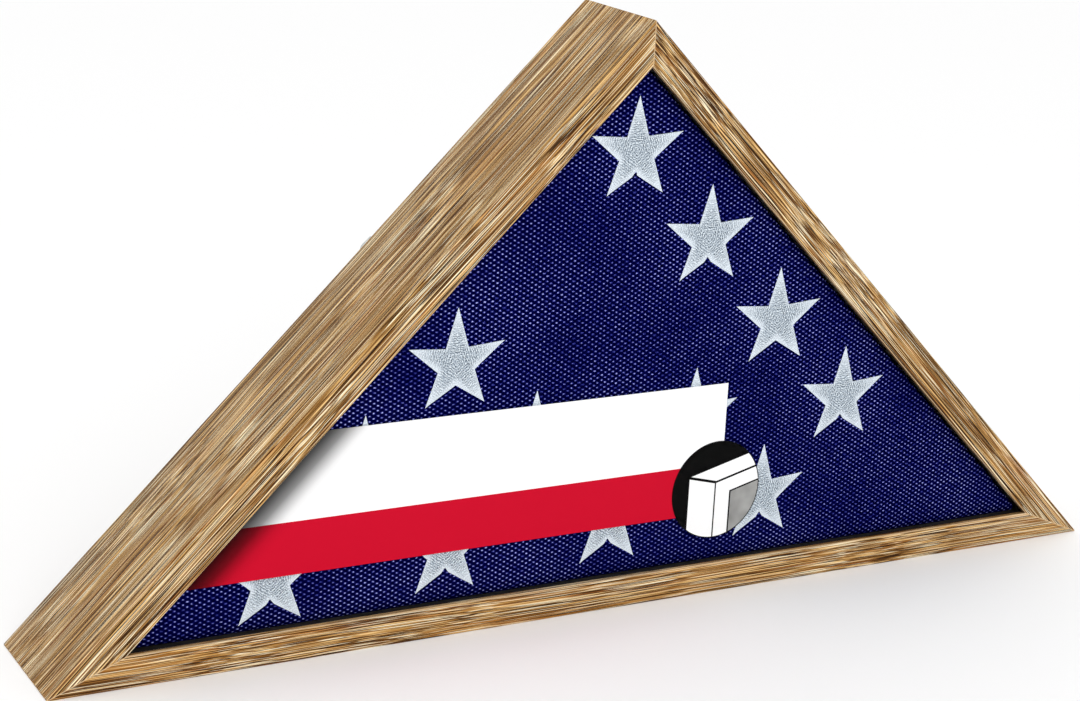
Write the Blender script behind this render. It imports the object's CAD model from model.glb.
import math

import bmesh
import bpy
from mathutils import Matrix, Quaternion, Vector


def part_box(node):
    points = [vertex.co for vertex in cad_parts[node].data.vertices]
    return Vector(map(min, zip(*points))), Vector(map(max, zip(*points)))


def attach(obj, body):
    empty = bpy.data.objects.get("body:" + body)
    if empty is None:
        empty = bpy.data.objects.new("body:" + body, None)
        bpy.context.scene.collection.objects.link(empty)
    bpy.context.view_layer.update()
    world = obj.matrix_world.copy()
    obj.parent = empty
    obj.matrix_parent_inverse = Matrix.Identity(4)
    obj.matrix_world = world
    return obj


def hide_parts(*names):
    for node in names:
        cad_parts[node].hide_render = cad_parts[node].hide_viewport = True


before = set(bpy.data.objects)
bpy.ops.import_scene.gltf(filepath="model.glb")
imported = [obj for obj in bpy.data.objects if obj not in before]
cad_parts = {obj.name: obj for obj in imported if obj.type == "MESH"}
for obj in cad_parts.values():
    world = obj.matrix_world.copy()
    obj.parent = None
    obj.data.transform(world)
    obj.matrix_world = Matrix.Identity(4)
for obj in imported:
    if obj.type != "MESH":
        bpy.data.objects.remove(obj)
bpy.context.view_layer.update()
MM = 0.001

# ---- Rails ---------------------------------------------------------------------------
# Three lengths of plain rectangular oak moulding, each an upright wall with a narrow lip
# along its front edge, mitred and glued at the corners. The long edges are sanded round.

base_low, base_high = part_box("base_rail")
front_y = base_low.y
back_y = base_high.y
face_w = base_high.z
wall_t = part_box("base_liner")[0].z
lip_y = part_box("front_glass")[0].y
apex_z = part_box("left_rail")[1].z
half_w = apex_z
leg_l = half_w * math.sqrt(2)
tip_x = base_high.x
SHARP = math.radians(22.5)
SQUARE = math.radians(45)
FINE = 0.001 * MM
MERGE = 0.002 * MM
NEAR = 0.01 * MM
sanded = 0.7 * MM
broken = 0.3 * MM
ease = 0.2 * MM


def deselect():
    if bpy.context.object and bpy.context.object.mode != "OBJECT":
        bpy.ops.object.mode_set(mode="OBJECT")
    bpy.ops.object.select_all(action="DESELECT")


def name_it(name):
    piece = bpy.context.object
    piece.name = name
    piece.data.name = name
    return piece


def activate(piece):
    deselect()
    piece.select_set(True)
    bpy.context.view_layer.objects.active = piece


def edit(piece, select="DESELECT"):
    activate(piece)
    bpy.ops.object.mode_set(mode="EDIT")
    bpy.ops.mesh.select_mode(type="VERT")
    bpy.ops.mesh.select_all(action=select)


def pick(piece, wanted, kind="verts"):
    """Selects the vertices, edges or faces for which wanted is true."""
    bpy.ops.mesh.select_all(action="DESELECT")
    shape = bmesh.from_edit_mesh(piece.data)
    for part in getattr(shape, kind):
        if wanted(part):
            part.select_set(True)
    shape.select_flush_mode()
    bmesh.update_edit_mesh(piece.data)


def cut(at, outwards):
    """Saws everything off beyond a plane and closes the end."""
    bpy.ops.mesh.select_all(action="SELECT")
    bpy.ops.mesh.bisect(plane_co=at, plane_no=outwards, use_fill=True, clear_outer=True,
                        threshold=FINE)


def finish_mesh(angle=30):
    bpy.ops.mesh.select_all(action="SELECT")
    bpy.ops.mesh.remove_doubles(threshold=MERGE)
    bpy.ops.mesh.normals_make_consistent(inside=False)
    bpy.ops.object.mode_set(mode="OBJECT")
    bpy.ops.object.shade_smooth_by_angle(angle=math.radians(angle))


def paint(hex_colour):
    """An sRGB hex colour as the linear colour that a shader takes."""
    parts = [int(hex_colour[i:i + 2], 16) / 255 for i in (1, 3, 5)]
    return [p / 12.92 if p < 0.04045 else ((p + 0.055) / 1.055) ** 2.4 for p in parts] + [1]


def add(tree, kind, inputs=None, stops=None, **settings):
    """Adds a node with its settings; an input is a value or the socket that feeds it."""
    made = tree.nodes.new(kind)
    for key, value in settings.items():
        setattr(made, key, value)
    for key, value in (inputs or {}).items():
        if isinstance(value, bpy.types.NodeSocket):
            tree.links.new(value, made.inputs[key])
        else:
            made.inputs[key].default_value = value
    if stops:
        ramp = made.color_ramp
        while len(ramp.elements) < len(stops):
            ramp.elements.new(0.5)
        for element, (place, colour) in zip(ramp.elements, stops):
            element.position = place
            element.color = paint(colour)
    return made


def new_material(name):
    made = bpy.data.materials.new(name)
    made.use_nodes = True
    return made, made.node_tree, made.node_tree.nodes["Principled BSDF"]


def wear(piece, material):
    piece.data.materials.clear()
    piece.data.materials.append(material)


def per_mm(along, across):
    """Pattern scale whose features are this many millimetres along and across the grain."""
    return (1 / (along * MM), 1 / (across * MM), 1 / (across * MM))


# Plain-sawn oak under a satin lacquer: olive and golden boards with long straight fibres,
# and dark open pores that each have a pale ray beside them. Fibres shine a little more.
def oak(name, tones):
    made, tree, shader = new_material(name)
    grain = add(tree, "ShaderNodeAttribute", attribute_name="grain").outputs["Vector"]

    def combined(first, second, operation="ADD"):
        return add(tree, "ShaderNodeVectorMath", {0: first, 1: second},
                   operation=operation).outputs[0]

    def sway(length, height):
        noise = add(tree, "ShaderNodeTexNoise",
                    {"Vector": combined(grain, (1 / length / MM, 20, 20), "MULTIPLY"),
                     "Scale": 1.0, "Detail": 1.0}).outputs["Color"]
        middle = combined(noise, (0.5, 0.5, 0.5), "SUBTRACT")
        return combined(middle, (0, height * MM, height * MM), "MULTIPLY")

    lines = combined(combined(grain, sway(330, 8)), sway(60, 0.7))

    def streaks(along, across, move=0, beside=0, detail=1.0):
        placed = combined(lines, (move, move + beside * MM, move + beside * MM))
        return add(tree, "ShaderNodeTexNoise",
                   {"Vector": combined(placed, per_mm(along, across), "MULTIPLY"),
                    "Scale": 1.0, "Detail": detail, "Roughness": 0.55}).outputs["Fac"]

    def band(source, low, high, most=1.0):
        """How much of an ink shows: none at low, and the most of it at high and beyond."""
        return add(tree, "ShaderNodeMapRange",
                   {"Value": source, "From Min": low, "From Max": high, "To Max": most},
                   interpolation_type="SMOOTHSTEP").outputs["Result"]

    def over(colour, ink, factor):
        return add(tree, "ShaderNodeMix", {"Factor": factor, 6: colour, 7: paint(ink)},
                   data_type="RGBA").outputs[2]

    boards = add(tree, "ShaderNodeValToRGB", {"Fac": streaks(420, 14, detail=2.0)},
                 stops=list(zip((0.34, 0.46, 0.56, 0.68), tones)))
    warm = band(streaks(190, 2.4, 3.7), 0.52, 0.68, 0.7)
    colour = over(boards.outputs["Color"], "#a8622a", warm)
    fibre = streaks(260, 0.65, 2.3)
    colour = over(colour, "#cc9c58", band(fibre, 0.51, 0.66, 0.75))
    colour = over(colour, "#502d0c", band(fibre, 0.50, 0.36, 0.9))
    hair = streaks(120, 0.4, 5.9)
    colour = over(colour, "#f3ca88", band(hair, 0.54, 0.64, 0.9))
    pores = band(hair, 0.46, 0.37, 0.92)
    colour = over(colour, "#2c1504", pores)
    rays = band(streaks(110, 0.42, 9.1, 0.4), 0.57, 0.64, 0.95)
    colour = over(colour, "#fff2cf", rays)
    cracks = band(streaks(110, 0.42, 9.1), 0.57, 0.64, 0.95)
    colour = over(colour, "#200d03", cracks)
    arris = add(tree, "ShaderNodeAttribute", attribute_name="arris").outputs["Fac"]
    colour = over(colour, "#e6c9a0", band(arris, 0.0, 1.0, 0.75))
    tree.links.new(colour, shader.inputs["Base Color"])
    shine = add(tree, "ShaderNodeMapRange", {"Value": fibre, "To Min": 0.55, "To Max": 0.4})
    tree.links.new(shine.outputs["Result"], shader.inputs["Roughness"])
    hollow = add(tree, "ShaderNodeMath", {0: pores, 1: cracks}, operation="MAXIMUM").outputs[0]
    height = add(tree, "ShaderNodeMath", {0: fibre, 1: hollow}, operation="SUBTRACT").outputs[0]
    bump = add(tree, "ShaderNodeBump",
               {"Height": height, "Strength": 0.6, "Distance": 0.15 * MM}).outputs["Normal"]
    tree.links.new(bump, shader.inputs["Normal"])
    shader.inputs["Specular IOR Level"].default_value = 0.08
    return made


leg_oak = oak("lacquered_oak_leg", ("#825627", "#8d5f2f", "#956732", "#9e6c2e"))
base_oak = oak("lacquered_oak_base", ("#925b23", "#a26a29", "#ab702d", "#a06d2e"))


def cad_copy(node, name):
    """A merged copy of a CAD node's mesh, to be softened or used as a cutter."""
    piece = bpy.data.objects.new(name, bpy.data.objects[node].data.copy())
    piece.data.name = name
    bpy.context.scene.collection.objects.link(piece)
    edit(piece, "SELECT")
    bpy.ops.mesh.remove_doubles(threshold=MERGE)
    bpy.ops.mesh.dissolve_limited(angle_limit=math.radians(1))
    bpy.ops.object.mode_set(mode="OBJECT")
    return piece


def drill(piece, cutter):
    activate(piece)
    hole = piece.modifiers.new("hole", "BOOLEAN")
    hole.operation = "DIFFERENCE"
    hole.solver = "EXACT"
    hole.object = cutter
    bpy.ops.object.modifier_apply(modifier=hole.name)


# The slots of the nails and the bores of the screws run out through the back.
slots = [cad_copy("v_nails", "nail_slots"), cad_copy("button_screws", "button_bores"),
         cad_copy("hanger_screws", "hanger_bores")]
edit(slots[0])
pick(slots[0], lambda v: v.co.y > back_y - NEAR)
bpy.ops.transform.translate(value=(0, 1 * MM, 0))
bpy.ops.object.mode_set(mode="OBJECT")


def rail(node, length, start, end, turn, corner, board):
    """One rail, sawn along X with its outer face down, then turned and set in its place.

    The start and the end are mitred by these angles, and board moves it along the grain."""
    deselect()
    bpy.ops.mesh.primitive_plane_add(size=1, rotation=(0, SQUARE * 2, 0))
    piece = name_it(node + "_oak")
    bpy.ops.object.transform_apply(location=True, rotation=True, scale=True)
    edit(piece, "SELECT")
    bpy.ops.transform.resize(value=(1, back_y - front_y, face_w))
    bpy.ops.transform.translate(value=(0, 0, face_w / 2))
    bpy.ops.mesh.select_all(action="SELECT")
    bpy.ops.mesh.bisect(plane_co=(0, lip_y, 0), plane_no=(0, 1, 0), threshold=FINE)
    bpy.ops.mesh.select_all(action="SELECT")
    bpy.ops.mesh.bisect(plane_co=(0, 0, wall_t), plane_no=(0, 0, 1), threshold=FINE)
    pick(piece, lambda f: f.calc_center_median().y > lip_y and
         f.calc_center_median().z > wall_t, "faces")
    bpy.ops.mesh.delete(type="FACE")
    bpy.ops.mesh.select_all(action="SELECT")
    bpy.ops.mesh.dissolve_limited(angle_limit=math.radians(5))
    pick(piece, lambda v: v.co.z < wall_t / 2 or v.co.y < front_y + 1 * MM)
    bpy.ops.mesh.bevel(affect="VERTICES", offset=sanded, segments=3)
    pick(piece, lambda v: abs(v.co.y - lip_y) < NEAR and v.co.z > wall_t + 1 * MM
         or v.co.y > back_y - NEAR and abs(v.co.z - wall_t) < NEAR)
    bpy.ops.mesh.bevel(affect="VERTICES", offset=broken, segments=2)
    bpy.ops.mesh.select_all(action="SELECT")
    bpy.ops.mesh.extrude_region_move(TRANSFORM_OT_translate={"value": (length, 0, 0)})
    mitres = ((0, Vector((-math.sin(start), 0, math.cos(start)))),
              (length, Vector((math.sin(end), 0, math.cos(end)))))
    for end_x, mitre in mitres:
        cut((end_x, 0, 0), mitre)
    place = Matrix.Translation(corner) @ Matrix.Rotation(turn, 4, "Y")
    bpy.ops.object.mode_set(mode="OBJECT")
    piece.data.transform(place)
    edit(piece, "SELECT")
    for side in (-1, 1):
        if node == "base_rail" or (side < 0) == (node == "left_rail"):
            cut((side * tip_x, 0, 0), (side, 0, 0))
    # The sawn ends are eased a little, which leaves a fine line along each closed mitre.
    turned = place.to_3x3()
    front, outer = Vector((0, -1, 0)), turned @ Vector((0, 0, -1))
    for end_x, mitre in mitres:
        corner_at, mitre = place @ Vector((end_x, 0, 0)), turned @ mitre
        for point, side in ((corner_at + front * -front_y, front), (corner_at, outer)):
            easing = (mitre + side).normalized()
            cut(point - easing * ease, easing)
    finish_mesh()
    for shaft in slots:
        drill(piece, shaft)
    # Each attribute is filled before the next is made, which would move its values away.
    unturned = place.inverted()
    grain = piece.data.attributes.new("grain", "FLOAT_VECTOR", "POINT")
    for vertex, value in zip(piece.data.vertices, grain.data):
        value.vector = unturned @ vertex.co + Vector((board, 0, 0))
    arris = piece.data.attributes.new("arris", "FLOAT", "FACE")
    for face, value in zip(piece.data.polygons, arris.data):
        normal = unturned.to_3x3() @ face.normal
        eased = 0.1 < abs(normal.y) < 0.95
        value.value = eased and (abs(normal.x) > 0.1 or (unturned @ face.center).z > wall_t)
    wear(piece, base_oak if node == "base_rail" else leg_oak)
    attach(piece, "case")
    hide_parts(node)


rail("base_rail", 2 * half_w, SHARP, SHARP, 0, (-half_w, 0, 0), 0)
rail("left_rail", leg_l, SQUARE, SHARP, 3 * SQUARE, (0, 0, apex_z), 3)
rail("right_rail", leg_l, SHARP, SQUARE, -3 * SQUARE, (half_w, 0, 0), 6)

for cutter in slots:
    bpy.data.objects.remove(cutter)

# ---- Nails ---------------------------------------------------------------------------
# Pressed steel V-nails, driven into the backs of the mitres until they are flush. They
# are zinc plated, and so is all the other steel on the case.


# Bright zinc plate: a cool grey metal, a little cloudy, with fine rolling marks.
def zinc():
    made, tree, shader = new_material("zinc_plated_steel")
    place = add(tree, "ShaderNodeTexCoord").outputs["Object"]
    cloud = add(tree, "ShaderNodeTexNoise",
                {"Vector": place, "Scale": 1 / (4 * MM), "Detail": 3.0}).outputs["Fac"]
    tone = add(tree, "ShaderNodeValToRGB", {"Fac": cloud},
               stops=[(0.35, "#b4b8bb"), (0.65, "#d2d3cf")]).outputs["Color"]
    tree.links.new(tone, shader.inputs["Base Color"])
    shine = add(tree, "ShaderNodeMapRange", {"Value": cloud, "To Min": 0.24, "To Max": 0.42})
    tree.links.new(shine.outputs["Result"], shader.inputs["Roughness"])
    marks = add(tree, "ShaderNodeTexNoise", {"Vector": place, "Scale": 1 / (0.5 * MM)})
    bump = add(tree, "ShaderNodeBump",
               {"Height": marks.outputs["Fac"], "Strength": 0.25, "Distance": 0.05 * MM})
    tree.links.new(bump.outputs["Normal"], shader.inputs["Normal"])
    shader.inputs["Metallic"].default_value = 1.0
    return made


plated = zinc()
wear(bpy.data.objects["v_nails"], plated)

# ---- Pane ----------------------------------------------------------------------------
# Clear glass, laid into the rebate against the lip. It is so clear that only its edges
# and a glancing view show it.

glass, tree, shader = new_material("clear_glass")
shader.inputs["Base Color"].default_value = paint("#1c2422")
shader.inputs["Roughness"].default_value = 0.03
glance = add(tree, "ShaderNodeLayerWeight", {"Blend": 0.5}).outputs["Facing"]
seen = add(tree, "ShaderNodeMapRange",
           {"Value": glance, "From Min": 0.6, "To Min": 0.0, "To Max": 0.6})
tree.links.new(seen.outputs["Result"], shader.inputs["Alpha"])
wear(bpy.data.objects["front_glass"], glass)

# ---- Liner boards --------------------------------------------------------------------
# Thin softwood boards, glued round the inside of the rails behind the pane and stained
# black, so that only a dark gap shows between the rails and the flag.

stain, tree, shader = new_material("black_stained_softwood")
place = add(tree, "ShaderNodeTexCoord").outputs["Object"]
fibres = add(tree, "ShaderNodeVectorMath", {0: place, 1: per_mm(40, 1.2)}, operation="MULTIPLY")
growth = add(tree, "ShaderNodeTexNoise",
             {"Vector": fibres.outputs[0], "Scale": 1.0, "Detail": 3.0}).outputs["Fac"]
tone = add(tree, "ShaderNodeValToRGB", {"Fac": growth},
           stops=[(0.35, "#0d0b0a"), (0.7, "#241f1b")]).outputs["Color"]
tree.links.new(tone, shader.inputs["Base Color"])
shader.inputs["Roughness"].default_value = 0.75
bump = add(tree, "ShaderNodeBump", {"Height": growth, "Strength": 0.3, "Distance": 0.1 * MM})
tree.links.new(bump.outputs["Normal"], shader.inputs["Normal"])
for liner in ("left_liner", "right_liner", "base_liner"):
    wear(bpy.data.objects[liner], stain)

# ---- Folded flag ---------------------------------------------------------------------
# A cotton flag of 5 by 9.5 feet, folded to four layers lengthwise and then over and over
# in half squares. What lies on top is its blue field, with slack, rounded borders.

flag_low, flag_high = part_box("folded_flag")
cloth_t = 0.35 * MM
plies = 52
corner_r = 2.5 * MM
apex_r = 3 * MM
fold_r = 0.6 * MM
border_r = 8 * MM
border_drop = 2 * MM
slack_h = 0.1 * MM
front_air = 0.9 * MM
back_air = 0.5 * MM
low_z = flag_low.z + fold_r + cloth_t / 2
top_z = flag_high.z - fold_r * math.sqrt(2)
half_base = top_z - low_z
in_radius = half_base * math.tan(SHARP)
centre = Vector((0, 0, low_z + in_radius))
front_ply = flag_low.y + front_air
back_ply = flag_high.y - back_air


def from_leg(x, z):
    """How far a point lies in from the nearest edge of the folded bundle."""
    across = (half_base - abs(x) - (z - low_z)) / math.sqrt(2)
    return max(0, min(across, z - low_z))


def swell(inside):
    share = 1 - min(inside / border_r, 1)
    return border_drop * (1 - math.sqrt(max(0, 1 - share * share)))


def cloth_y(x, z, ply=0):
    """Where a ply lies: level in the middle, and drawn back where it nears an edge."""
    share = ply / (plies - 1)
    near, far = front_ply + swell(from_leg(x, z)), back_ply - swell(from_leg(x, z))
    slack = math.sin(x / 0.019 + z / 0.034) + math.sin(x / 0.041 - z / 0.023 + 2)
    return near + (far - near) * share + slack_h * slack * math.exp(-ply / 4)


def arc(at, radius, start, end, steps):
    return [Vector((at[0] + radius * math.cos(start + (end - start) * i / steps), 0,
                    at[1] + radius * math.sin(start + (end - start) * i / steps)))
            for i in range(steps + 1)]


def between(first, last, steps):
    return [first.lerp(last, i / steps) for i in range(1, steps)]


# Outline of one ply: the base, the right corner, the right leg, the top and so on round.
reach = half_base - corner_r / math.tan(SHARP)
right_end = arc((reach, low_z + corner_r), corner_r, -2 * SQUARE, SQUARE, 6)
left_end = arc((-reach, low_z + corner_r), corner_r, 3 * SQUARE, 6 * SQUARE, 6)
top_end = arc((0, top_z - apex_r * math.sqrt(2)), apex_r, SQUARE, 3 * SQUARE, 6)
sides = {"base": (left_end[-1], right_end[0], 26), "right": (right_end[-1], top_end[0], 20),
         "left": (top_end[-1], left_end[0], 20)}
away = {"base": Vector((0, 0, -1)), "right": Vector((1, 0, 1)).normalized(),
        "left": Vector((-1, 0, 1)).normalized()}
# Known fault, kept as it is: the base's first point comes out as the outline's fourth
# and should be its last. Each fold on the base so doubles back at its left end.
outline, along_side = [], {}
for side, end in (("base", right_end), ("right", top_end), ("left", left_end)):
    first, last, steps = sides[side]
    start = len(outline) - 1
    outline += between(first, last, steps) + end
    along_side[side] = [i % 10000 for i in range(start, start + steps + 1)]
around = len(outline)
along_side = {side: [i % around for i in found] for side, found in along_side.items()}

cloth = bmesh.new()
flat = cloth.loops.layers.uv.new("cloth")
spot = {}


def vertex(x, y, z, u, v):
    made = cloth.verts.new((x, y, z))
    spot[made] = (u, v)
    return made


def face(corners):
    made = cloth.faces.new(corners)
    for loop in made.loops:
        loop[flat].uv = spot[loop.vert]


rims = []
for ply in range(plies):
    insets = [0, 1.5, 4, 8, 12, 20] if ply else [0, 0.8, 2, 3.5, 5.5, 8, 11]
    if ply == 0:
        insets += [16 + 7.5 * i for i in range(14)]
    rings = []
    for inset in insets:
        share = 1 - inset * MM / in_radius
        ring = []
        for point in outline:
            x, z = centre.x + (point.x - centre.x) * share, centre.z + (point.z - centre.z) * share
            ring.append(vertex(x, cloth_y(x, z, ply), z, x, z))
        rings.append(ring)
    for outer, inner in zip(rings, rings[1:]):
        for i in range(around):
            j = (i + 1) % around
            corners = [outer[i], outer[j], inner[j], inner[i]]
            face(corners if ply % 2 == 0 else corners[::-1])
    face(rings[-1] if ply % 2 == 0 else rings[-1][::-1])
    rims.append(rings[0])

order = ("base", "right", "base", "left")
bends = 4
for ply in range(plies - 1):
    side = order[ply % 4]
    rows = [[rims[ply][i] for i in along_side[side]]]
    for bend in range(1, bends):
        turn = math.pi * bend / bends
        row = []
        for i in along_side[side]:
            near, far = rims[ply][i].co, rims[ply + 1][i].co
            radius = (far.y - near.y) / 2
            x, z = (near + away[side] * radius * math.sin(turn)).xz
            y = near.y + radius * (1 - math.cos(turn))
            arc_out = away[side] * radius * min(turn, math.pi - turn)
            row.append(vertex(x, y, z, near.x + arc_out.x, near.z + arc_out.z))
        rows.append(row)
    rows.append([rims[ply + 1][i] for i in along_side[side]])
    for near_row, far_row in zip(rows, rows[1:]):
        for i in range(len(near_row) - 1):
            corners = [near_row[i], far_row[i], far_row[i + 1], near_row[i + 1]]
            face(corners if ply % 2 == 0 else corners[::-1])

mesh = bpy.data.meshes.new("flag_cloth")
cloth.to_mesh(mesh)
cloth.free()
flag = bpy.data.objects.new("flag_cloth", mesh)
bpy.context.scene.collection.objects.link(flag)
activate(flag)
thick = flag.modifiers.new("cloth", "SOLIDIFY")
thick.thickness = cloth_t
thick.offset = 0
bpy.ops.object.modifier_apply(modifier=thick.name)
bpy.ops.object.shade_smooth_by_angle(angle=math.radians(60))


# Heavy dyed cotton in a coarse basket weave: each raised thread end catches the light as
# a pale lilac speck, in rows that are set half a step apart, over near-black gaps.
def bunting():
    made, tree, shader = new_material("navy_cotton_bunting")
    place = add(tree, "ShaderNodeUVMap", uv_map="cloth").outputs["UV"]
    loose = add(tree, "ShaderNodeTexNoise", {"Vector": place, "Scale": 1 / (9 * MM)})
    sway = add(tree, "ShaderNodeVectorMath",
               {0: loose.outputs["Color"], 1: (0.5 * MM, 0.5 * MM, 0)}, operation="MULTIPLY")
    threads = add(tree, "ShaderNodeVectorMath", {0: place, 1: sway.outputs[0]}).outputs[0]
    parts = add(tree, "ShaderNodeSeparateXYZ", {0: threads})

    def wave(axis, pitch):
        turn = add(tree, "ShaderNodeMath", {0: parts.outputs[axis], 1: 2 * math.pi / (pitch * MM)},
                   operation="MULTIPLY").outputs[0]
        return add(tree, "ShaderNodeMath", {0: turn}, operation="COSINE").outputs[0]

    both = add(tree, "ShaderNodeMath", {0: wave("X", 4.6), 1: wave("Y", 2.8)},
               operation="MULTIPLY").outputs[0]
    uneven = add(tree, "ShaderNodeTexNoise",
                 {"Vector": place, "Scale": 1 / (1.1 * MM), "Detail": 1.5}).outputs["Fac"]
    lift = add(tree, "ShaderNodeMapRange", {"Value": uneven, "To Min": -0.75, "To Max": 0.65})
    speck = add(tree, "ShaderNodeMath", {0: both, 1: lift.outputs["Result"]}).outputs[0]
    worn = add(tree, "ShaderNodeTexNoise",
               {"Vector": place, "Scale": 1 / (70 * MM), "Detail": 1.0}).outputs["Fac"]
    dim = add(tree, "ShaderNodeMapRange",
              {"Value": worn, "From Min": 0.35, "From Max": 0.65, "To Min": 0.93, "To Max": 1.02})
    tone = add(tree, "ShaderNodeMapRange", {"Value": speck, "From Min": -1.0,
                                            "To Max": dim.outputs["Result"]}).outputs["Result"]
    colour = add(tree, "ShaderNodeValToRGB", {"Fac": tone},
                 stops=[(0.34, "#00002c"), (0.62, "#090b47"), (0.84, "#343a90"),
                        (1.0, "#b2b7f0")]).outputs["Color"]
    tree.links.new(colour, shader.inputs["Base Color"])
    bump = add(tree, "ShaderNodeBump", {"Height": speck, "Strength": 0.5, "Distance": 0.15 * MM})
    tree.links.new(bump.outputs["Normal"], shader.inputs["Normal"])
    shader.inputs["Roughness"].default_value = 0.9
    shader.inputs["Specular IOR Level"].default_value = 0.0
    return made


wear(flag, bunting())
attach(flag, "case")
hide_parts("folded_flag")

# ---- Stars ---------------------------------------------------------------------------
# White stars, embroidered on the blue field in satin stitch: the threads cross each arm
# and meet in a valley between two arms. Their rows are set half a step apart.

star_r = 29.5 * MM
star_in = 0.385
stitch_h = 0.75 * MM
arms = 5
valley_dip = 0.22
inner_out = star_r * star_in * math.cos(math.pi / arms)
inner_off = star_r * star_in * math.sin(math.pi / arms)


# Rayon thread with a soft shine. Each stitch is drawn 1.3 mm wide, about twice as coarse
# as it is, so that it shows.
def embroidery():
    made, tree, shader = new_material("white_satin_stitch")
    place = add(tree, "ShaderNodeUVMap", uv_map="stitch").outputs["UV"]
    parts = add(tree, "ShaderNodeSeparateXYZ", {0: place})
    noise = add(tree, "ShaderNodeTexNoise",
                {"Vector": place, "Scale": 1 / (2.5 * MM), "Detail": 1.0}).outputs["Fac"]
    turn = add(tree, "ShaderNodeMath",
               {0: parts.outputs["X"], 1: 2 * math.pi / (1.3 * MM)}, operation="MULTIPLY")
    turn = add(tree, "ShaderNodeMath", {0: noise, 1: 11.0, 2: turn.outputs[0]},
               operation="MULTIPLY_ADD")
    thread = add(tree, "ShaderNodeMath", {0: turn.outputs[0]}, operation="SINE").outputs[0]
    patch = add(tree, "ShaderNodeTexNoise",
                {"Vector": place, "Scale": 1 / (0.7 * MM), "Detail": 2.0}).outputs["Fac"]
    tone = add(tree, "ShaderNodeMath", {0: thread, 1: 0.11, 2: patch}, operation="MULTIPLY_ADD")
    colour = add(tree, "ShaderNodeValToRGB", {"Fac": tone.outputs[0]},
                 stops=[(0.30, "#4d5762"), (0.44, "#93a0ad"), (0.56, "#c3cfda"),
                        (0.70, "#f2fbff")]).outputs["Color"]
    rim = add(tree, "ShaderNodeAttribute", attribute_name="rim").outputs["Fac"]
    turned = add(tree, "ShaderNodeMapRange",
                 {"Value": rim, "From Min": 0.3, "From Max": 0.95, "To Max": 0.8},
                 interpolation_type="SMOOTHSTEP").outputs["Result"]
    colour = add(tree, "ShaderNodeMix", {"Factor": turned, 6: colour, 7: paint("#ecf6ff")},
                 data_type="RGBA").outputs[2]
    tree.links.new(colour, shader.inputs["Base Color"])
    bump = add(tree, "ShaderNodeBump", {"Height": thread, "Strength": 0.6, "Distance": 0.2 * MM})
    tree.links.new(bump.outputs["Normal"], shader.inputs["Normal"])
    shader.inputs["Roughness"].default_value = 0.5
    shader.inputs["Specular IOR Level"].default_value = 0.25
    return made


stitched = embroidery()


def nearest_arm(x, z):
    """The direction, turned from straight up, of the arm that a point belongs to."""
    return round(math.atan2(x, z) / (2 * math.pi / arms)) * 2 * math.pi / arms


def star(name, at):
    deselect()
    bpy.ops.mesh.primitive_circle_add(vertices=2 * arms, radius=star_r, fill_type="NGON",
                                      rotation=(2 * SQUARE, 0, 0))
    piece = name_it(name)
    bpy.ops.object.transform_apply(location=True, rotation=True, scale=True)
    edit(piece)
    tips = {v.index for v in piece.data.vertices
            if abs(math.atan2(v.co.x, v.co.z) - nearest_arm(v.co.x, v.co.z)) < math.radians(1)}
    pick(piece, lambda v: v.index not in tips)
    bpy.ops.transform.resize(value=(star_in, star_in, star_in))
    bpy.ops.mesh.select_all(action="SELECT")
    bpy.ops.mesh.poke()
    bpy.ops.mesh.select_all(action="SELECT")
    bpy.ops.mesh.subdivide(number_cuts=7)
    bpy.ops.mesh.select_all(action="SELECT")
    bpy.ops.mesh.extrude_region_move(TRANSFORM_OT_translate={"value": (0, -1, 0)})
    bpy.ops.object.mode_set(mode="OBJECT")
    uv = piece.data.uv_layers.new(name="stitch")
    for polygon in piece.data.polygons:
        middle = polygon.center
        arm = nearest_arm(middle.x, middle.z)
        axis = Vector((math.sin(arm), 0, math.cos(arm)))
        side = Vector((math.cos(arm), 0, -math.sin(arm)))
        for loop in polygon.loop_indices:
            point = piece.data.vertices[piece.data.loops[loop].vertex_index].co
            uv.data[loop].uv = (point.dot(axis), point.dot(side) + 0.1 * arm)
    rim = piece.data.attributes.new("rim", "FLOAT", "POINT")
    for corner, worn in zip(piece.data.vertices, rim.data):
        x, z = corner.co.x, corner.co.z
        arm = nearest_arm(x, z)
        out = x * math.sin(arm) + z * math.cos(arm)
        off = abs(x * math.cos(arm) - z * math.sin(arm))
        edge = inner_off * (star_r - out) / (star_r - inner_out)
        if out > inner_out:
            share, wide = off / max(edge, 1e-6), edge
        else:
            share, wide = off / inner_off, inner_off
        full = math.sqrt(max(0, 1 - min(share, 1) ** 2.4))
        height = stitch_h * full * min(1, 0.45 + wide / inner_off * 0.55)
        if out < inner_out:
            valley = off / max(out * math.tan(math.pi / arms), 1e-6)
            height = stitch_h * (1 - valley_dip * valley ** 4)
            depth = (inner_out - out) / inner_out
            height = stitch_h * (full + (height / stitch_h - full) * min(1, depth * 3))
        worn.value = max(math.hypot(x, z) / star_r, 0.9 * min(share, 1) * min(1, out / inner_out))
        base = cloth_y(at[0] + x, at[1] + z)
        raised = corner.co.y < -0.5
        corner.co = (at[0] + x, base - cloth_t / 2 - (height if raised else -0.05 * MM), at[1] + z)
    edit(piece, "SELECT")
    finish_mesh(40)
    wear(piece, stitched)
    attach(piece, "case")
    return piece


stars = []
star_rows = ((0,), (1,), (-2, 2), (-3, -1, 1, 3), (-4, -2, 0, 2))
column_step, row_step = 50.4, 52.2
top_star_x, top_star_z, row_rise = -2.5, 259.4, 1.4
for row, columns in enumerate(star_rows):
    for column in columns:
        place = ((column_step * column - row + top_star_x) * MM,
                 (top_star_z - row_step * row + row_rise * column) * MM)
        stars.append(star("star_%d" % (len(stars) + 1), place))

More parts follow.
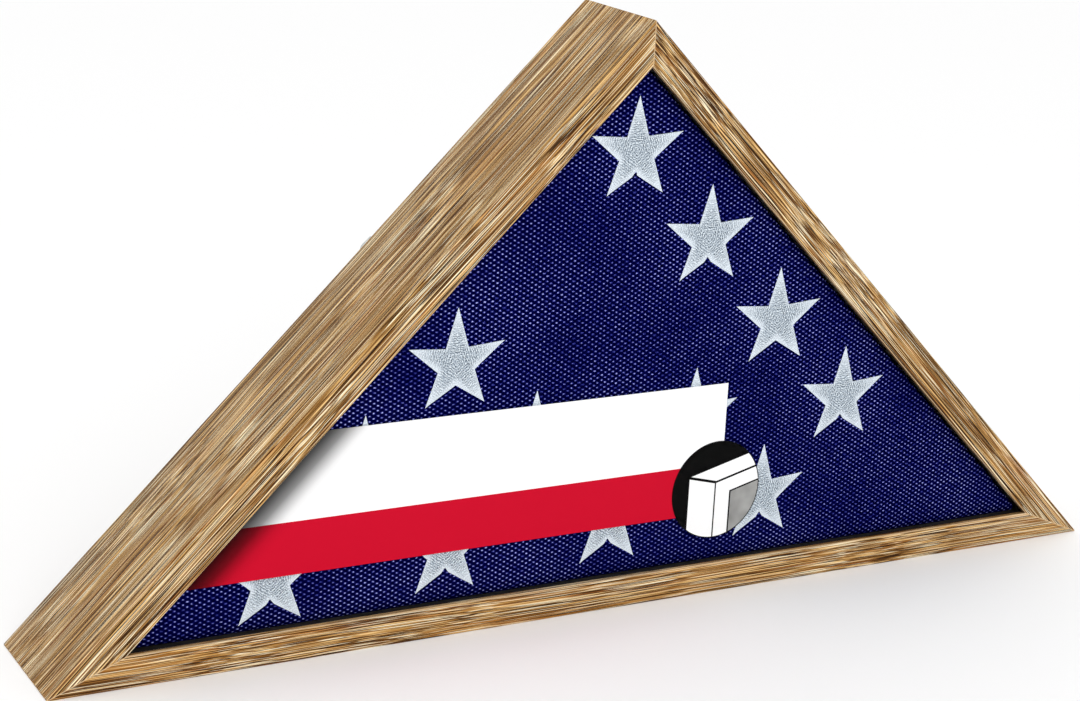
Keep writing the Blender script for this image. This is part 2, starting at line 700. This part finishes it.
# ---- Printed card --------------------------------------------------------------------
# A blank sales card of coated stock behind the pane: a red strip under a white one, with
# a soft printed shade where it runs in behind the left rail.

band_z = 75.5 * MM
shade_w = 26 * MM
card, tree, shader = new_material("coated_card")
place = add(tree, "ShaderNodeTexCoord").outputs["Object"]
parts = add(tree, "ShaderNodeSeparateXYZ", {0: place})
upper = add(tree, "ShaderNodeMath", {0: parts.outputs["Z"], 1: band_z}, operation="GREATER_THAN")
strips = add(tree, "ShaderNodeMix",
             {"Factor": upper.outputs[0], 6: paint("#cd0b2b"), 7: paint("#ffffff")},
             data_type="RGBA").outputs[2]
rise = add(tree, "ShaderNodeMath", {0: parts.outputs["X"], 1: parts.outputs["Z"]},
           operation="SUBTRACT").outputs[0]
shade = add(tree, "ShaderNodeMapRange",
            {"Value": rise, "From Min": -half_w + face_w * math.sqrt(2),
             "From Max": -half_w + (face_w + shade_w) * math.sqrt(2)},
            interpolation_type="SMOOTHSTEP").outputs["Result"]
tone = add(tree, "ShaderNodeValToRGB", {"Fac": shade},
           stops=[(0.0, "#303030"), (0.35, "#8a8a8a"), (0.8, "#f0f0f0"), (1.0, "#ffffff")])
final = add(tree, "ShaderNodeMix", {"Factor": 1.0, 6: strips, 7: tone.outputs["Color"]},
            data_type="RGBA", blend_type="MULTIPLY").outputs[2]
tree.links.new(final, shader.inputs["Base Color"])
paper = add(tree, "ShaderNodeTexNoise", {"Vector": place, "Scale": 1 / (0.8 * MM)})
bump = add(tree, "ShaderNodeBump",
           {"Height": paper.outputs["Fac"], "Strength": 0.1, "Distance": 0.02 * MM})
tree.links.new(bump.outputs["Normal"], shader.inputs["Normal"])
shader.inputs["Roughness"].default_value = 0.5
shader.inputs["Specular IOR Level"].default_value = 0.05
wear(bpy.data.objects["print_band"], card)

# A round black label behind the pane, with a plain picture of the rail's corner on it:
# two white sides and a white front round a grey opening, with black lines between them.
disc_low, disc_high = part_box("print_disc")
disc_at = (disc_low + disc_high) / 2
disc_r = (disc_high.x - disc_low.x) / 2


def ink(name, tones, size):
    made, tree, shader = new_material(name)
    place = add(tree, "ShaderNodeTexCoord").outputs["Object"]
    speckle = add(tree, "ShaderNodeTexNoise", {"Vector": place, "Scale": 1 / (size * MM)})
    tone = add(tree, "ShaderNodeValToRGB", {"Fac": speckle.outputs["Fac"]},
               stops=[(0.3, tones[0]), (0.7, tones[1])]).outputs["Color"]
    tree.links.new(tone, shader.inputs["Base Color"])
    shader.inputs["Roughness"].default_value = 0.4
    shader.inputs["Specular IOR Level"].default_value = 0.05
    return made


black = ink("black_ink", ("#020202", "#080808"), 0.6)
white = ink("white_ink", ("#fbfbfb", "#ffffff"), 0.6)
grey = ink("grey_ink", ("#8a8a88", "#b0b0ae"), 16)


def label_part(name, radius, layer, thick, material, cuts=()):
    """A disc of ink, trimmed by straight lines; each is a point and the way to cut off."""
    deselect()
    bpy.ops.mesh.primitive_circle_add(vertices=96, radius=radius, fill_type="NGON",
                                      rotation=(2 * SQUARE, 0, 0))
    piece = name_it(name)
    bpy.ops.object.transform_apply(location=True, rotation=True, scale=True)
    edit(piece, "SELECT")
    for (x, z), turn in cuts:
        bpy.ops.mesh.select_all(action="SELECT")
        outwards = (math.cos(math.radians(turn)), 0, math.sin(math.radians(turn)))
        bpy.ops.mesh.bisect(plane_co=(x * MM, 0, z * MM), plane_no=outwards, clear_outer=True,
                            threshold=FINE)
    bpy.ops.mesh.select_all(action="SELECT")
    bpy.ops.mesh.extrude_region_move(TRANSFORM_OT_translate={"value": (0, thick, 0)})
    bpy.ops.mesh.select_all(action="SELECT")
    bpy.ops.transform.translate(value=(disc_at.x, layer, disc_at.z))
    finish_mesh()
    wear(piece, material)
    return piece


slant = 14.5
ground_y = disc_low.y + 0.07 * MM
ink_y = disc_low.y + 0.03 * MM
ink_t = 0.04 * MM
black_edge = 0.6 * MM
drawing = (
    ("label_side", white, (((-18, 0), 180), ((-0.9, 4.5), 0), ((-0.9, 3.8), 90 - slant))),
    ("label_top", white, (((-17, 9.6), 90 + slant), ((0, 5.2), -90 + slant),
                          ((0, 5.2), -90 - slant))),
    ("label_front", white, (((0, 0), 180), ((9.2, 0), 0), ((0, 3.9), 90 + slant))),
    ("label_rail", white, (((9.2, 0), 180), ((0, 3.9), 90 + slant), ((9.2, -1.6), -90 + slant))),
    ("label_opening", grey, (((10.2, 0), 180), ((9.2, -2.6), 90 + slant))),
)
parts_of_label = [label_part("label_ground", disc_r, ground_y, disc_high.y - ground_y, black)]
for name, material, cuts in drawing:
    parts_of_label.append(label_part(name, disc_r - black_edge, ink_y, ink_t, material, cuts))
deselect()
for piece in parts_of_label:
    piece.select_set(True)
bpy.context.view_layer.objects.active = parts_of_label[0]
bpy.ops.object.join()
label = name_it("corner_label")
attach(label, "case")
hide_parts("print_disc")

# ---- Back panel ----------------------------------------------------------------------
# A sheet of smooth brown hardboard, sawn to the triangle and dropped in against the
# liners. Black felt is glued to its inner side.

hardboard, tree, shader = new_material("brown_hardboard")
place = add(tree, "ShaderNodeTexCoord").outputs["Object"]
felted = add(tree, "ShaderNodeTexNoise",
             {"Vector": place, "Scale": 1 / (1.4 * MM), "Detail": 4.0}).outputs["Fac"]
blotch = add(tree, "ShaderNodeTexNoise",
             {"Vector": place, "Scale": 1 / (60 * MM), "Detail": 2.0}).outputs["Fac"]
blend = add(tree, "ShaderNodeMath", {0: blotch, 1: 0.12, 2: felted}, operation="MULTIPLY_ADD")
tone = add(tree, "ShaderNodeValToRGB", {"Fac": blend.outputs[0]},
           stops=[(0.36, "#553721"), (0.56, "#734d30"), (0.76, "#92663f")]).outputs["Color"]
tree.links.new(tone, shader.inputs["Base Color"])
shader.inputs["Roughness"].default_value = 0.55
bump = add(tree, "ShaderNodeBump", {"Height": felted, "Strength": 0.25, "Distance": 0.08 * MM})
tree.links.new(bump.outputs["Normal"], shader.inputs["Normal"])

felt, tree, shader = new_material("black_felt")
place = add(tree, "ShaderNodeTexCoord").outputs["Object"]
fuzz = add(tree, "ShaderNodeTexNoise",
           {"Vector": place, "Scale": 1 / (0.9 * MM), "Detail": 3.0}).outputs["Fac"]
tone = add(tree, "ShaderNodeValToRGB", {"Fac": fuzz},
           stops=[(0.3, "#0b0b0c"), (0.75, "#242427")]).outputs["Color"]
tree.links.new(tone, shader.inputs["Base Color"])
bump = add(tree, "ShaderNodeBump", {"Height": fuzz, "Strength": 0.6, "Distance": 0.2 * MM})
tree.links.new(bump.outputs["Normal"], shader.inputs["Normal"])
shader.inputs["Roughness"].default_value = 1.0
wear(bpy.data.objects["panel_lining"], felt)


def softened(node, body, material, width, steps=2, angle=30):
    """The CAD part's shape with its edges broken, as sawing, sanding or tumbling leaves it."""
    piece = cad_copy(node, node + "_piece")
    activate(piece)
    edges = piece.modifiers.new("edges", "BEVEL")
    edges.width = width * MM
    edges.segments = steps
    edges.limit_method = "ANGLE"
    edges.angle_limit = math.radians(angle)
    bpy.ops.object.modifier_apply(modifier=edges.name)
    bpy.ops.object.shade_smooth_by_angle(angle=math.radians(35))
    wear(piece, material)
    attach(piece, body)
    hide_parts(node)


softened("back_panel", "back", hardboard, 0.3)

# ---- Turn buttons --------------------------------------------------------------------
# Six turn buttons of pressed steel on pan-head screws. They lie along the rails, and
# turn over the back panel to hold it.

for node in ("button_left_low", "button_left_high", "button_right_low", "button_right_high",
             "button_base_left", "button_base_right"):
    softened(node, node, plated, 0.25)
softened("button_screws", "case", plated, 0.2)

# ---- Hangers -------------------------------------------------------------------------
# Two D-rings of steel wire, each held to a leg by a folded strap and a pan-head screw.

for side in ("left", "right"):
    softened(side + "_hanger_strap", "case", plated, 0.15)
    softened(side + "_hanger_ring", side + "_ring", plated, 0.05, 1, 60)
softened("hanger_screws", "case", plated, 0.2)

# ---- Wall bumpers --------------------------------------------------------------------
# Moulded black rubber feet, stuck to the back of the base rail to keep it off the wall.

rubber, tree, shader = new_material("moulded_rubber")
place = add(tree, "ShaderNodeTexCoord").outputs["Object"]
grit = add(tree, "ShaderNodeTexNoise",
           {"Vector": place, "Scale": 1 / (0.6 * MM), "Detail": 2.0}).outputs["Fac"]
tone = add(tree, "ShaderNodeValToRGB", {"Fac": grit},
           stops=[(0.3, "#171718"), (0.7, "#242425")]).outputs["Color"]
tree.links.new(tone, shader.inputs["Base Color"])
bump = add(tree, "ShaderNodeBump", {"Height": grit, "Strength": 0.3, "Distance": 0.05 * MM})
tree.links.new(bump.outputs["Normal"], shader.inputs["Normal"])
shader.inputs["Roughness"].default_value = 0.8
for side in ("left", "right"):
    softened(side + "_bumper", "case", rubber, 0.6, 3)

# ---- Floor, light and camera ---------------------------------------------------------
# A pale floor under even white light, and one soft lamp at the front left. The camera
# stands left of the case and above it, and is rolled a little.

deselect()
bpy.ops.mesh.primitive_plane_add(size=60, location=(0, 0, 0))
floor = name_it("floor")
floor_paint, _, shader = new_material("pale_floor")
shader.inputs["Base Color"].default_value = paint("#fcfcfc")
shader.inputs["Roughness"].default_value = 0.9
shader.inputs["Specular IOR Level"].default_value = 0.1
wear(floor, floor_paint)

world = bpy.data.worlds.new("studio")
bpy.context.scene.world = world
world.use_nodes = True
world.node_tree.nodes["Background"].inputs["Color"].default_value = (1, 1, 1, 1)
world.node_tree.nodes["Background"].inputs["Strength"].default_value = 1.0


def softbox(name, place, size, power):
    lamp = bpy.data.lights.new(name, "AREA")
    lamp.shape = "SQUARE"
    lamp.size = size
    lamp.energy = power
    holder = bpy.data.objects.new(name, lamp)
    bpy.context.scene.collection.objects.link(holder)
    holder.location = place
    aim = Vector((0, 0, apex_z / 3)) - holder.location
    holder.rotation_mode = "QUATERNION"
    holder.rotation_quaternion = aim.to_track_quat("-Z", "Y")


softbox("key_softbox", Vector((-0.6, -2.2, 1.5)), 1.2, 12.5)

case_w = 2 * half_w
eye = bpy.data.cameras.new("camera")
eye.sensor_width = 36
eye.lens = 78.7
eye.clip_end = 100
camera = bpy.data.objects.new("camera", eye)
bpy.context.scene.collection.objects.link(camera)
camera.location = (-0.9745 * case_w, front_y - 1.5924 * case_w, 0.7722 * case_w)
swing, dip, roll = math.radians(29.04), math.radians(-16.40), math.radians(2.86)
gaze = Vector((math.sin(swing) * math.cos(dip), math.cos(swing) * math.cos(dip), math.sin(dip)))
camera.rotation_mode = "QUATERNION"
camera.rotation_quaternion = gaze.to_track_quat("-Z", "Y") @ Quaternion((0, 0, 1), roll)
bpy.context.scene.camera = camera
bpy.context.scene.view_settings.view_transform = "Standard"
